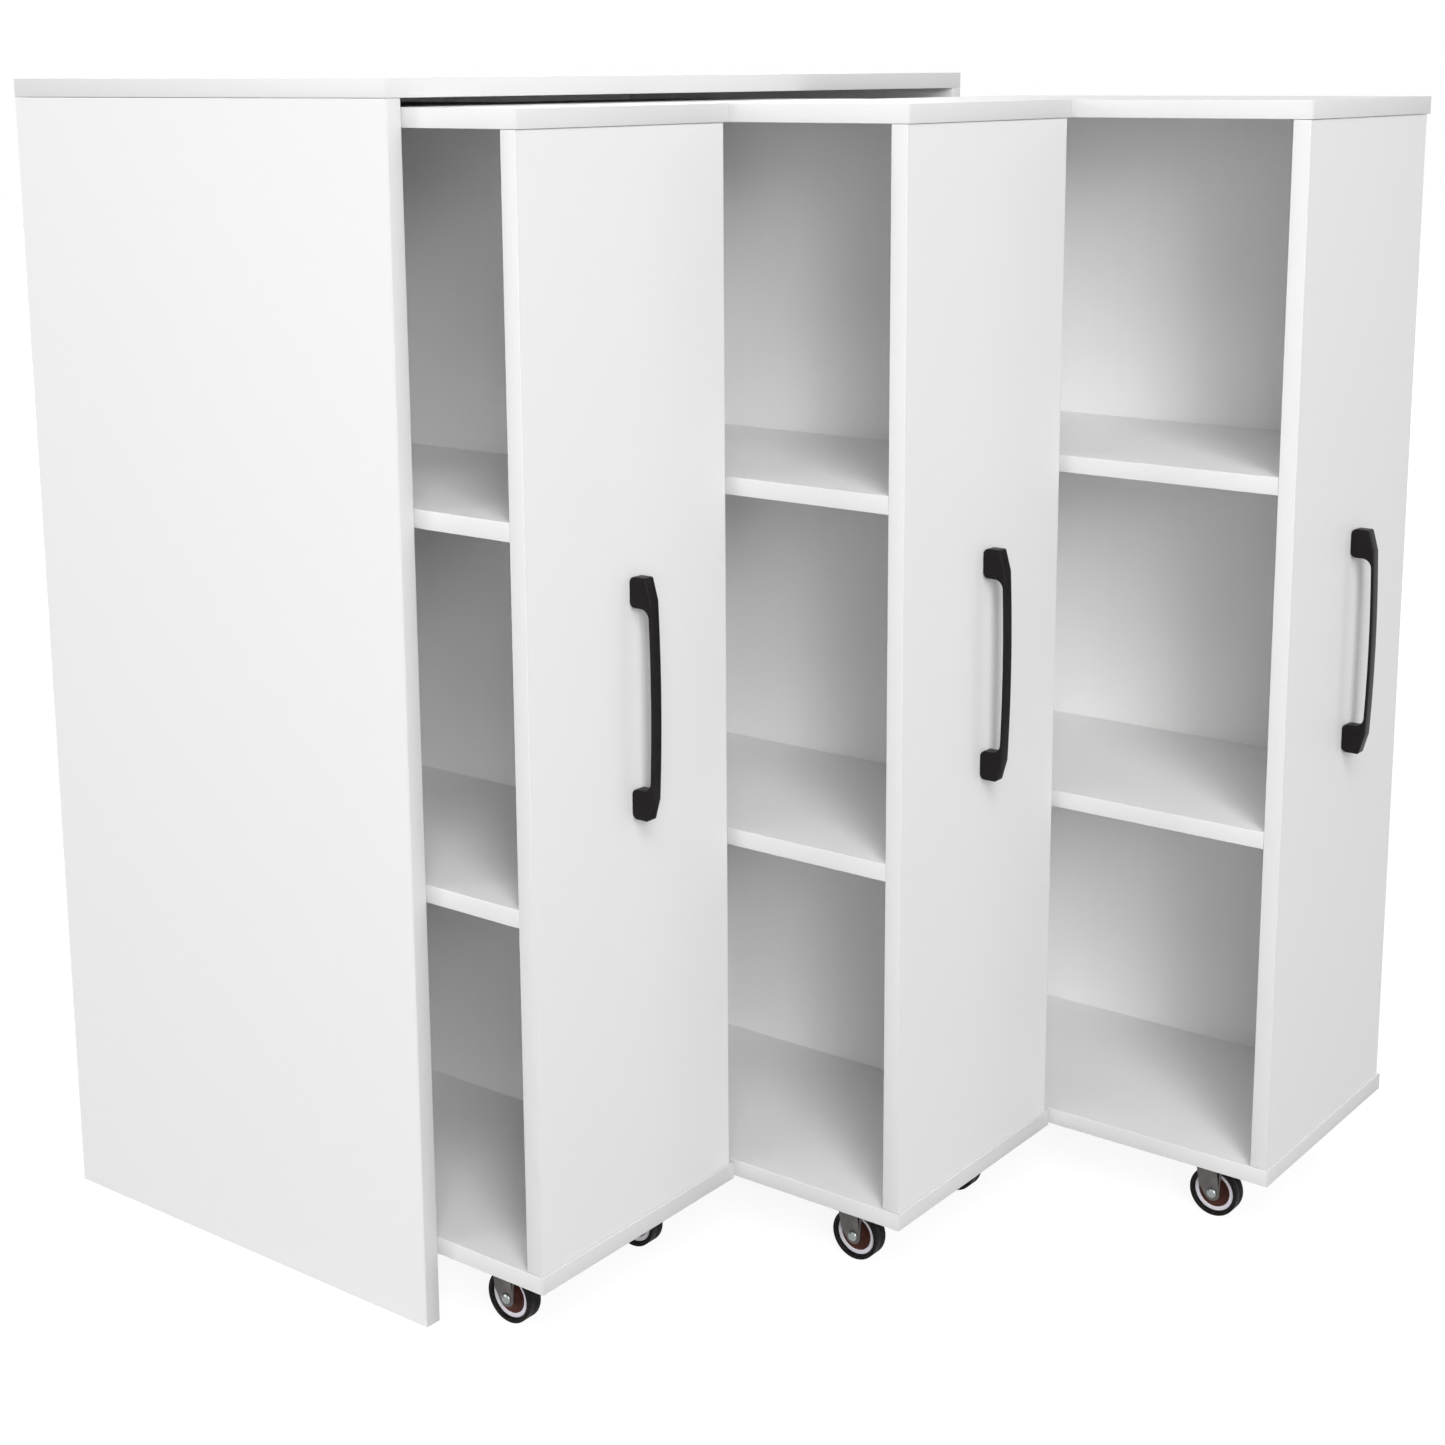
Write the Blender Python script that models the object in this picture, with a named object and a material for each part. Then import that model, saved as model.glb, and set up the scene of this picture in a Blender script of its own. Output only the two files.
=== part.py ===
"""Rolling bookcase: an open-fronted case that houses three tall shelf units on wheels.

Lengths are in metres. +Z is up, +X is to the right as seen from the front, and the units roll
out towards -Y. The origin is on the floor, under the middle of the whole bookcase as it stands
with its three units drawn out.
"""

import math

import bmesh
import bpy

# Case
CASE_WIDTH = 0.800
CASE_DEPTH = 0.440
CASE_HEIGHT = 1.000
CASE_BOARD = 0.015
BACK_SHEET = 0.003
BACK_INSET = 0.008
BACK_GROOVE = 0.006
RAIL_HEIGHT = 0.080
RAIL_FLOOR_GAP = 0.010

# How far each unit is drawn out of the case
PULL_OUT_LEFT = 0.110
PULL_OUT_MIDDLE = 0.278
PULL_OUT_RIGHT = 0.490

# Shelf units
UNIT_BOARD = 0.015
UNIT_SIDE_CLEARANCE = 0.005
UNIT_TOP_CLEARANCE = 0.007
UNIT_STOP_CLEARANCE = 0.0007
FRONT_SIDE_REVEAL = 0.005
FRONT_SETBACK = 0.001
WALL_SHEET = 0.003
WALL_INSET = 0.0085
WALL_GROOVE = 0.006
SHELF_COUNT = 2

# Casters
WHEEL_RADIUS = 0.0225
TYRE_WIDTH = 0.015
TREAD_ROUND = 0.002
RIM_RADIUS = 0.0152
WEB_THICKNESS = 0.008
BOSS_RADIUS = 0.0065
BOSS_WIDTH = 0.0155
AXLE_RADIUS = 0.003
AXLE_CLEARANCE = 0.0004
BOLT_HEAD_RADIUS = 0.00425
BOLT_HEAD_HEIGHT = 0.0024
FORK_SHEET = 0.002
LEG_FRONT_REACH = 0.0085
LEG_REAR_REACH = 0.0165
LEG_KNEE_REACH = 0.0125
LEG_KNEE_HEIGHT = 0.005
LEG_END_RADIUS = 0.0074
PLATE_WIDTH = 0.040
PLATE_LENGTH = 0.042
WHEEL_TOP_CLEARANCE = 0.0087
CASTER_LEFT_INSET = 0.034
CASTER_RIGHT_INSET = 0.057
CASTER_END_INSET = 0.062

# Handles
HANDLE_LENGTH = 0.198
HANDLE_REACH = 0.023
HANDLE_WIDTH = 0.0108
HANDLE_THICKNESS = 0.0026
HANDLE_BOW = 0.002
HANDLE_EDGE = 0.001
FOOT_LENGTH = 0.025
FOOT_ROUND = 0.005
FOOT_FILLET = 0.008
SHOULDER_RUN = 0.018
SHOULDER_DROP = 0.005
SHOULDER_ROUND = 0.002

# Handle screws
SCREW_RADIUS = 0.002
SCREW_CLEARANCE = 0.0004
SCREW_BITE = 0.008
SCREW_TIP_SPACE = 0.002
SCREW_HEAD_RADIUS = 0.004
SCREW_HEAD_HEIGHT = 0.0024

# Crown of a screw's or bolt's head, as shares of its radius and height
CROWN_RADIUS_SHARE = 0.6
CROWN_RIM_SHARE = 0.6

# Fits shared by every piece
JOINT_GAP = 0.0003
EDGE_ROUND = 0.0006
OVERRUN = 0.002

# Steps round the turned and curved shapes
WHEEL_STEPS = 18
BOLT_STEPS = 12
LEG_END_STEPS = 6
TREAD_ROUND_STEPS = 2
FOOT_ROUND_STEPS = 2
FILLET_STEPS = 4
BOW_STEPS = 4

# Sizes that follow from the case and its stops
UNIT_NAMES = ("left", "middle", "right")
PULL_OUTS = (PULL_OUT_LEFT, PULL_OUT_MIDDLE, PULL_OUT_RIGHT)
UNIT_COUNT = len(UNIT_NAMES)
BAY_WIDTH = CASE_WIDTH - 2 * CASE_BOARD
BACK_FRONT_Y = CASE_DEPTH - BACK_INSET - BACK_SHEET
RAIL_REAR_Y = BACK_FRONT_Y - JOINT_GAP
RAIL_FRONT_Y = RAIL_REAR_Y - CASE_BOARD
UNIT_WIDTH = (BAY_WIDTH - (UNIT_COUNT + 1) * UNIT_SIDE_CLEARANCE) / UNIT_COUNT
UNIT_DEPTH = RAIL_FRONT_Y - UNIT_STOP_CLEARANCE

# Heights of a unit
PLATE_TOP_Z = 2 * WHEEL_RADIUS + WHEEL_TOP_CLEARANCE + FORK_SHEET
UNIT_LOW_Z = PLATE_TOP_Z + JOINT_GAP
UNIT_HIGH_Z = CASE_HEIGHT - CASE_BOARD - UNIT_TOP_CLEARANCE
INNER_LOW_Z = UNIT_LOW_Z + UNIT_BOARD
INNER_HIGH_Z = UNIT_HIGH_Z - UNIT_BOARD
SHELF_SPACE = (INNER_HIGH_Z - INNER_LOW_Z - SHELF_COUNT * UNIT_BOARD) / (SHELF_COUNT + 1)

# Places across and along a unit
FRONT_WIDTH = UNIT_WIDTH - FRONT_SIDE_REVEAL
WALL_X = FRONT_WIDTH - WALL_INSET - WALL_SHEET
INNER_FRONT_Y = FRONT_SETBACK + UNIT_BOARD
INNER_REAR_Y = UNIT_DEPTH - FRONT_SETBACK - UNIT_BOARD
HANDLE_X = UNIT_WIDTH / 2
HANDLE_Z = (INNER_LOW_Z + INNER_HIGH_Z) / 2
FOOT_Z = HANDLE_LENGTH / 2 - FOOT_LENGTH / 2

# The whole bookcase, from the foremost handle to the rear of the case
FRONT_REACH = max(PULL_OUTS) - FRONT_SETBACK + HANDLE_REACH
CASE_FRONT_Y = (FRONT_REACH - CASE_DEPTH) / 2


def arc(centre, radius, start, end, steps):
    """Points on an arc of a circle, from one angle in degrees to another."""
    points = []
    for step in range(steps + 1):
        turn = math.radians(start + (end - start) * step / steps)
        points.append((centre[0] + radius * math.cos(turn), centre[1] + radius * math.sin(turn)))
    return points


def material(name, colour, roughness, metallic=0.0):
    made = bpy.data.materials.new(name)
    made.use_nodes = True
    shader = made.node_tree.nodes["Principled BSDF"]
    shader.inputs["Base Color"].default_value = (*colour, 1.0)
    shader.inputs["Roughness"].default_value = roughness
    shader.inputs["Metallic"].default_value = metallic
    made.diffuse_color = (*colour, 1.0)
    return made


def mesh_from(bm, name):
    """Turn a bmesh into a mesh with its faces pointing out."""
    bmesh.ops.recalc_face_normals(bm, faces=bm.faces)
    mesh = bpy.data.meshes.new(name)
    bm.to_mesh(mesh)
    bm.free()
    return mesh


def box(name, low, high, edge_round=0.0):
    """A box between two corners, with its edges taken off where edge_round is given."""
    bm = bmesh.new()
    bmesh.ops.create_cube(bm, size=1.0)
    for vertex in bm.verts:
        for axis in range(3):
            vertex.co[axis] = high[axis] if vertex.co[axis] > 0 else low[axis]
    if edge_round:
        bmesh.ops.bevel(bm, geom=bm.edges[:], offset=edge_round, segments=1, affect="EDGES")
    return mesh_from(bm, name)


def prism(name, outline, low_x, high_x, edge_round=0.0):
    """An outline of (y, z) points, extruded along X, with both of its rims taken off."""
    bm = bmesh.new()
    face = bm.faces.new([bm.verts.new((low_x, y, z)) for y, z in outline])
    pushed = bmesh.ops.extrude_face_region(bm, geom=[face])["geom"]
    moved = [item for item in pushed if isinstance(item, bmesh.types.BMVert)]
    bmesh.ops.translate(bm, verts=moved, vec=(high_x - low_x, 0, 0))
    if edge_round:
        rims = [edge for edge in bm.edges if edge.verts[0].co.x == edge.verts[1].co.x]
        bmesh.ops.bevel(bm, geom=rims, offset=edge_round, segments=1, affect="EDGES")
    return mesh_from(bm, name)


def turned(name, profile, steps, closed=False):
    """A profile of (x, radius) points, turned about the X axis."""
    bm = bmesh.new()
    points = [bm.verts.new((x, 0, -radius)) for x, radius in profile]
    edges = [bm.edges.new(pair) for pair in zip(points, points[1:])]
    if closed:
        edges.append(bm.edges.new((points[-1], points[0])))
    bmesh.ops.spin(
        bm, geom=points + edges, cent=(0, 0, 0), axis=(1, 0, 0),
        angle=math.tau, steps=steps, use_merge=True)
    bmesh.ops.remove_doubles(bm, verts=bm.verts, dist=JOINT_GAP / 10)
    mesh = mesh_from(bm, name)
    mesh.shade_smooth()
    mesh.set_sharp_from_angle(angle=math.radians(35))
    return mesh


def rod(name, radius, low_x, high_x, steps=BOLT_STEPS):
    return turned(name, [(low_x, 0), (low_x, radius), (high_x, radius), (high_x, 0)], steps)


def placed(mesh, place):
    """A copy of a mesh, turned from the X axis to the Y axis and set at a place."""
    copy = mesh.copy()
    for vertex in copy.vertices:
        x, y, z = vertex.co
        vertex.co = (place[0] - y, place[1] + x, place[2] + z)
    return copy


def shaped(mesh, cutters=(), additions=()):
    """The mesh with other meshes cut out of it or joined to it."""
    scene = bpy.context.scene.collection
    base = bpy.data.objects.new(mesh.name, mesh)
    scene.objects.link(base)
    tools = []
    steps = [("DIFFERENCE", tool) for tool in cutters] + [("UNION", tool) for tool in additions]
    for operation, tool_mesh in steps:
        tool = bpy.data.objects.new("tool", tool_mesh)
        tool.hide_render = True
        tool.display_type = "WIRE"
        scene.objects.link(tool)
        tools.append(tool)
        modifier = base.modifiers.new(operation.lower(), "BOOLEAN")
        modifier.operation = operation
        modifier.object = tool
    depsgraph = bpy.context.evaluated_depsgraph_get()
    result = bpy.data.meshes.new_from_object(base.evaluated_get(depsgraph))
    result.name = mesh.name
    for item in [base, *tools]:
        bpy.data.objects.remove(item)
    return result


def add_object(name, mesh, finish, parent, place=(0, 0, 0)):
    """Put a mesh in the scene; repeated pieces share one mesh."""
    made = bpy.data.objects.new(name, mesh)
    bpy.context.scene.collection.objects.link(made)
    if not mesh.materials:
        mesh.materials.append(finish)
    made.parent = parent
    made.location = place
    return made


def add_empty(name, parent, place):
    made = bpy.data.objects.new(name, None)
    bpy.context.scene.collection.objects.link(made)
    made.parent = parent
    made.location = place
    return made


def case_meshes():
    """The case boards, in the case's frame: its front left corner is on the floor at zero."""
    inner_right = CASE_WIDTH - CASE_BOARD
    inner_top = CASE_HEIGHT - CASE_BOARD
    seat_top = inner_top - JOINT_GAP
    groove_low = (CASE_BOARD - BACK_GROOVE, BACK_FRONT_Y - JOINT_GAP, -OVERRUN)
    groove_high = (
        inner_right + BACK_GROOVE, BACK_FRONT_Y + BACK_SHEET + JOINT_GAP, inner_top + BACK_GROOVE)
    groove = box("back_groove", groove_low, groove_high)
    top = box("case_top", (0, 0, inner_top), (CASE_WIDTH, CASE_DEPTH, CASE_HEIGHT), EDGE_ROUND)
    left = box("case_side_left", (0, 0, 0), (CASE_BOARD, CASE_DEPTH, seat_top), EDGE_ROUND)
    right = box(
        "case_side_right", (inner_right, 0, 0), (CASE_WIDTH, CASE_DEPTH, seat_top), EDGE_ROUND)
    back = box(
        "case_back",
        (groove_low[0] + JOINT_GAP, BACK_FRONT_Y, RAIL_FLOOR_GAP),
        (groove_high[0] - JOINT_GAP, BACK_FRONT_Y + BACK_SHEET, groove_high[2] - JOINT_GAP))
    meshes = {
        "case_top": shaped(top, [groove]),
        "case_side_left": shaped(left, [groove]),
        "case_side_right": shaped(right, [groove]),
        "case_back": back,
    }
    rail_bottoms = {
        "case_rail_bottom": RAIL_FLOOR_GAP,
        "case_rail_top": seat_top - RAIL_HEIGHT,
    }
    for name, low_z in rail_bottoms.items():
        meshes[name] = box(
            name,
            (CASE_BOARD + JOINT_GAP, RAIL_FRONT_Y, low_z),
            (inner_right - JOINT_GAP, RAIL_REAR_Y, low_z + RAIL_HEIGHT),
            EDGE_ROUND)
    return meshes


def unit_board_meshes():
    """The boards of one unit, in its own frame: its front left corner is at zero, on the floor."""
    groove = box(
        "wall_groove",
        (WALL_X - JOINT_GAP, INNER_FRONT_Y - WALL_GROOVE, INNER_LOW_Z - WALL_GROOVE),
        (WALL_X + WALL_SHEET + JOINT_GAP, INNER_REAR_Y + WALL_GROOVE, INNER_HIGH_Z + WALL_GROOVE))
    screw_holes = [
        placed(
            rod("screw_hole", SCREW_RADIUS + SCREW_CLEARANCE, -OVERRUN, UNIT_BOARD + OVERRUN),
            (HANDLE_X, FRONT_SETBACK, HANDLE_Z + side * FOOT_Z))
        for side in (-1, 1)]
    upright_low_z = INNER_LOW_Z + JOINT_GAP
    upright_high_z = INNER_HIGH_Z - JOINT_GAP
    bottom = box(
        "bottom", (0, 0, UNIT_LOW_Z), (UNIT_WIDTH, UNIT_DEPTH, INNER_LOW_Z), EDGE_ROUND)
    top = box("top", (0, 0, INNER_HIGH_Z), (UNIT_WIDTH, UNIT_DEPTH, UNIT_HIGH_Z), EDGE_ROUND)
    front = box(
        "front", (0, FRONT_SETBACK, upright_low_z), (FRONT_WIDTH, INNER_FRONT_Y, upright_high_z),
        EDGE_ROUND)
    rear = box(
        "rear", (0, INNER_REAR_Y, upright_low_z),
        (FRONT_WIDTH, UNIT_DEPTH - FRONT_SETBACK, upright_high_z), EDGE_ROUND)
    wall = box(
        "wall",
        (WALL_X, INNER_FRONT_Y - WALL_GROOVE + JOINT_GAP, INNER_LOW_Z - WALL_GROOVE + JOINT_GAP),
        (WALL_X + WALL_SHEET, INNER_REAR_Y + WALL_GROOVE - JOINT_GAP,
         INNER_HIGH_Z + WALL_GROOVE - JOINT_GAP))
    meshes = {
        "bottom": shaped(bottom, [groove]),
        "top": shaped(top, [groove]),
        "front": shaped(front, [groove, *screw_holes]),
        "rear": shaped(rear, [groove]),
        "wall": wall,
    }
    for number in range(SHELF_COUNT):
        low_z = INNER_LOW_Z + (number + 1) * SHELF_SPACE + number * UNIT_BOARD
        name = f"shelf_{number + 1}"
        meshes[name] = box(
            name,
            (0, INNER_FRONT_Y + JOINT_GAP, low_z),
            (WALL_X - JOINT_GAP, INNER_REAR_Y - JOINT_GAP, low_z + UNIT_BOARD),
            EDGE_ROUND)
    return meshes


def handle_outline():
    """Half of the arched handle's side view, from its middle to its foot and back.

    Each point is (distance out of the front panel, height above the handle's middle).
    """
    end = HANDLE_LENGTH / 2
    shoulder = end - SHOULDER_RUN
    foot = end - FOOT_LENGTH
    fillet_end = foot - FOOT_FILLET

    def outer(height):
        return HANDLE_REACH - HANDLE_BOW * (height / shoulder) ** 2

    points = []
    for step in range(BOW_STEPS + 1):
        height = shoulder * step / BOW_STEPS
        points.append((outer(height), height))
    slope = math.atan2(SHOULDER_DROP, SHOULDER_RUN)
    corner = outer(shoulder) - SHOULDER_DROP
    inset = SHOULDER_ROUND * (1 - math.sin(slope)) / math.cos(slope)
    points += arc(
        (corner - inset, end - SHOULDER_ROUND), SHOULDER_ROUND, math.degrees(slope), 90,
        FOOT_ROUND_STEPS)
    back = JOINT_GAP + FOOT_ROUND
    inner = outer(fillet_end) - HANDLE_THICKNESS
    points += arc((back, end - FOOT_ROUND), FOOT_ROUND, 90, 180, FOOT_ROUND_STEPS)
    points += arc((back, foot + FOOT_ROUND), FOOT_ROUND, 180, 270, FOOT_ROUND_STEPS)
    points += arc((inner - FOOT_FILLET, fillet_end), FOOT_FILLET, 90, 0, FILLET_STEPS)
    for step in range(BOW_STEPS - 1, -1, -1):
        height = fillet_end * step / BOW_STEPS
        points.append((outer(height) - HANDLE_THICKNESS, height))
    return points


def handle_mesh():
    """The arched handle, in its unit's frame; the panel it stands on faces -Y."""
    half = handle_outline()
    upper = [(FRONT_SETBACK - reach, HANDLE_Z + height) for reach, height in half]
    lower = [(FRONT_SETBACK - reach, HANDLE_Z - height) for reach, height in half[1:-1]]
    outline = upper + lower[::-1]
    arch = prism(
        "handle", outline, HANDLE_X - HANDLE_WIDTH / 2, HANDLE_X + HANDLE_WIDTH / 2, HANDLE_EDGE)
    depth = SCREW_BITE + SCREW_TIP_SPACE
    holes = [
        placed(
            rod("thread_hole", SCREW_RADIUS + SCREW_CLEARANCE, -depth, OVERRUN),
            (HANDLE_X, FRONT_SETBACK, HANDLE_Z + side * FOOT_Z))
        for side in (-1, 1)]
    return shaped(arch, holes)


def crown(base, radius, height):
    """The end of a round head's profile: its rim, the edge of its crown and its middle."""
    return [
        (base + CROWN_RIM_SHARE * height, radius),
        (base + height, CROWN_RADIUS_SHARE * radius),
        (base + height, 0)]


def handle_screw_mesh():
    """A pan head screw on the Y axis; its head lies at +Y and y = 0 is under the head."""
    length = UNIT_BOARD + JOINT_GAP + SCREW_BITE
    profile = [(-length, 0), (-length, SCREW_RADIUS), (0, SCREW_RADIUS), (0, SCREW_HEAD_RADIUS)]
    profile += crown(0, SCREW_HEAD_RADIUS, SCREW_HEAD_HEIGHT)
    return placed(turned("handle_screw", profile, BOLT_STEPS), (0, 0, 0))


def wheel_mesh():
    """One wheel about its own axle: hub with its bore, recessed web, rim and rounded tyre."""
    bore = AXLE_RADIUS + AXLE_CLEARANCE
    tyre_half = TYRE_WIDTH / 2
    side = [
        (BOSS_WIDTH / 2, bore),
        (BOSS_WIDTH / 2, BOSS_RADIUS),
        (WEB_THICKNESS / 2, BOSS_RADIUS),
        (WEB_THICKNESS / 2, RIM_RADIUS),
        (tyre_half, RIM_RADIUS),
    ]
    side += arc(
        (tyre_half - TREAD_ROUND, WHEEL_RADIUS - TREAD_ROUND), TREAD_ROUND, 0, 90,
        TREAD_ROUND_STEPS)
    other_side = [(-x, radius) for x, radius in reversed(side)]
    return turned("wheel", side + other_side, WHEEL_STEPS, closed=True)


def tangent_angle(point, side):
    """Where a line from the point touches the round end of a leg, in degrees from +Y."""
    away = math.atan2(point[1], point[0])
    opening = math.acos(LEG_END_RADIUS / math.hypot(*point))
    return math.degrees(away + side * opening)


def fork_mesh():
    """One fixed caster fork about its axle: top plate, two legs and the axle bolt."""
    plate_top = PLATE_TOP_Z - WHEEL_RADIUS
    plate_low = plate_top - FORK_SHEET
    plate = box(
        "fork",
        (-PLATE_WIDTH / 2, -PLATE_LENGTH / 2, plate_low),
        (PLATE_WIDTH / 2, PLATE_LENGTH / 2, plate_top))
    leg_inner = BOSS_WIDTH / 2 + JOINT_GAP
    leg_outer = leg_inner + FORK_SHEET
    rear = (LEG_REAR_REACH, plate_low + FORK_SHEET / 2)
    front = (-LEG_FRONT_REACH, plate_low + FORK_SHEET / 2)
    knee = (LEG_KNEE_REACH, LEG_KNEE_HEIGHT)
    leg_outline = [knee, rear, front, *arc(
        (0, 0), LEG_END_RADIUS, tangent_angle(front, 1), tangent_angle(knee, -1) + 360,
        LEG_END_STEPS)]
    left_leg = prism("leg", leg_outline, -leg_outer, -leg_inner)
    right_leg = prism("leg", leg_outline, leg_inner, leg_outer)
    head_start = leg_outer - FORK_SHEET / 2
    head = [(head_start, AXLE_RADIUS), (head_start, BOLT_HEAD_RADIUS)]
    head += crown(leg_outer, BOLT_HEAD_RADIUS, BOLT_HEAD_HEIGHT)
    other_head = [(-x, radius) for x, radius in reversed(head)]
    bolt = turned("bolt", other_head + head, BOLT_STEPS)
    return shaped(plate, additions=[left_leg, right_leg, bolt])


def add_casters(unit, unit_name, fork, wheel, finishes):
    across = {"left": CASTER_LEFT_INSET, "right": UNIT_WIDTH - CASTER_RIGHT_INSET}
    along = {"front": CASTER_END_INSET, "rear": UNIT_DEPTH - CASTER_END_INSET}
    for end, y in along.items():
        for side, x in across.items():
            place = (x, y, WHEEL_RADIUS)
            add_object(f"{unit_name}_fork_{end}_{side}", fork, finishes["steel"], unit, place)
            add_object(f"{unit_name}_wheel_{end}_{side}", wheel, finishes["tyre"], unit, place)


def add_unit(number, case, boards, handle, screw, fork, wheel, finishes):
    name = f"{UNIT_NAMES[number]}_unit"
    x = CASE_BOARD + UNIT_SIDE_CLEARANCE + number * (UNIT_WIDTH + UNIT_SIDE_CLEARANCE)
    unit = add_empty(name, case, (x, -PULL_OUTS[number], 0))
    for piece, mesh in boards.items():
        finish = finishes["sheet"] if piece == "wall" else finishes["board"]
        add_object(f"{name}_{piece}", mesh, finish, unit)
    add_object(f"{name}_handle", handle, finishes["handle"], unit)
    for label, side in (("lower", -1), ("upper", 1)):
        place = (HANDLE_X, INNER_FRONT_Y + JOINT_GAP, HANDLE_Z + side * FOOT_Z)
        add_object(f"{name}_handle_screw_{label}", screw, finishes["screw"], unit, place)
    add_casters(unit, name, fork, wheel, finishes)


def main():
    for item in list(bpy.data.objects):
        bpy.data.objects.remove(item)
    finishes = {
        "board": material("white_melamine", (0.86, 0.86, 0.85), 0.4),
        "sheet": material("white_hardboard", (0.80, 0.80, 0.79), 0.55),
        "handle": material("black_satin", (0.015, 0.013, 0.014), 0.35),
        "screw": material("zinc_screw", (0.62, 0.62, 0.64), 0.3, 1.0),
        "steel": material("zinc_steel", (0.42, 0.42, 0.44), 0.35, 1.0),
        "tyre": material("black_tyre", (0.02, 0.02, 0.02), 0.6),
    }
    case = add_empty("bookcase", None, (-CASE_WIDTH / 2, CASE_FRONT_Y, 0))
    for name, mesh in case_meshes().items():
        finish = finishes["sheet"] if name == "case_back" else finishes["board"]
        add_object(name, mesh, finish, case)
    boards = unit_board_meshes()
    handle = handle_mesh()
    screw = handle_screw_mesh()
    fork = fork_mesh()
    wheel = wheel_mesh()
    for number in range(UNIT_COUNT):
        add_unit(number, case, boards, handle, screw, fork, wheel, finishes)


main()
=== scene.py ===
"""Looks of the rolling bookcase: materials, edge bands, handles, casters, floor, light and camera.

Lengths are in metres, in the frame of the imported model: +Z is up, +X is to the right as seen from
the front, and the units roll out towards -Y.
"""

import math

import bmesh
import bpy
from mathutils import Matrix, Vector


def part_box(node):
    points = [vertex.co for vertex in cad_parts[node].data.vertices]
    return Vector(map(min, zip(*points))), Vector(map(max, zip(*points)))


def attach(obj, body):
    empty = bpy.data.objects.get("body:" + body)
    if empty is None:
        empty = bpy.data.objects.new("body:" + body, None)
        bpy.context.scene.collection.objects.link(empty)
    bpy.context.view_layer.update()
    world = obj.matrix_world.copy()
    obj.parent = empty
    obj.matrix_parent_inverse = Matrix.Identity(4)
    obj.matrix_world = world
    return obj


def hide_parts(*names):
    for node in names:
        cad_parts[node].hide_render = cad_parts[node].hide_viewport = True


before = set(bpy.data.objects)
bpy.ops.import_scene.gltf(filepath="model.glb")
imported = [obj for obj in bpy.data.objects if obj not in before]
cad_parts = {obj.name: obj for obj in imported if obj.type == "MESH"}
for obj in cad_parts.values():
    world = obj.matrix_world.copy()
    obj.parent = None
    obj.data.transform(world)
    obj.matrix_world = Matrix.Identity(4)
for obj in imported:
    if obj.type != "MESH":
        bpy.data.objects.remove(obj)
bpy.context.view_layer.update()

# Names of the repeated pieces
UNITS = ("left", "middle", "right")
ENDS = ("front", "rear")
SIDES = ("left", "right")
SHELVES = (1, 2)

# Axes, a right angle, a round bevel's profile, millimetres in a metre, and the distance within
# which two places are one
X, Y, Z = range(3)
QUARTER_TURN = math.radians(90)
ROUND_PROFILE = 0.5
MILLIMETRES = 1000
MERGE_DISTANCE = 1e-7

# Finishes: white, the detail of each noise, and the step in noise over which dust fades in
WHITE = (1.0, 1.0, 1.0, 1.0)
BROAD_DETAIL = 4.0
FINE_DETAIL = 3.0
DUST_DETAIL = 6.0
DUST_FADE = 0.2

# In each section below, a value named SMOOTH is the largest angle in degrees between two faces
# that shade as one surface.

# Edge bands: glued strips of the boards' white, coloured darker than the boards as painted shade on
# the edges
BAND_SEAT = 0.0006
BAND_PROUD = 0.0003
BAND_ROUND = 0.0005
BAND_STEPS = 3
BAND_SMOOTH = 30

# Handles: an arched flat bar with a foot at each end
HANDLE_GAP = 0.0003
HANDLE_THICKNESS = 0.0026
HANDLE_BOW = 0.002
HANDLE_EDGE = 0.0007
HANDLE_EDGE_STEPS = 4
FOOT_LENGTH = 0.025
FOOT_ROUND = 0.005
FOOT_FILLET = 0.008
SHOULDER_RUN = 0.018
SHOULDER_DROP = 0.005
SHOULDER_ROUND = 0.002
CURVE_STEPS = 14
HANDLE_SMOOTH = 28

# Wheels: tyre, pale rim ring and dark hub
TYRE_HALF_WIDTH = 0.0075
WHEEL_STEPS = 96
TREAD_ROUND = 0.0008
TREAD_ROUND_STEPS = 8
PARTING_WIDTH = 0.0003
PARTING_DEPTH = 0.0002
TYRE_LIP = 0.0190
LIP_ROUND = 0.0012
RING_INNER = 0.0147
RING_OUTER = 0.0184
RING_SINK = 0.0026
RING_ROUND = 0.0005
RING_ROUND_STEPS = 4
HUB_LIP = 0.0006
HUB_DISH = 0.0060
HUB_DISH_POWER = 1.5
BOSS_RADIUS = 0.0065
BOSS_ROUND = 0.0006
BORE_RADIUS = 0.0034
JOINT_SINK = 0.0001
TYRE_SMOOTH = 40
TURNED_SMOOTH = 35

# Forks: the sheet, the legs about the axle, their folded front edge, the plate and the bends
FORK_SHEET = 0.002
FORK_EDGE = 0.0004
FORK_EDGE_STEPS = 2
LEG_INNER = 0.00805
LEG_FRONT_REACH = 0.0085
LEG_REAR_REACH = 0.0165
LEG_KNEE_REACH = 0.0125
LEG_KNEE_HEIGHT = 0.005
LEG_END_RADIUS = 0.0074
LEG_STEPS = 28
FLANGE_WIDTH = 0.0020
FLANGE_GROOVE = 0.0032
FLANGE_FLOOR_SHARE = 0.25
FLANGE_END_HEIGHT = 0.002
FLANGE_END_WIDTH = 0.001
# The groove's floor and walls take this material slot: a near-black finish painted on as shade in
# the groove
GROOVE_SHADE_INDEX = 1
PLATE_CORNER = 0.004
PLATE_CORNER_STEPS = 6
BEND_RADIUS = 0.001
BEND_STEPS = 6
FORK_SMOOTH = 30

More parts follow.
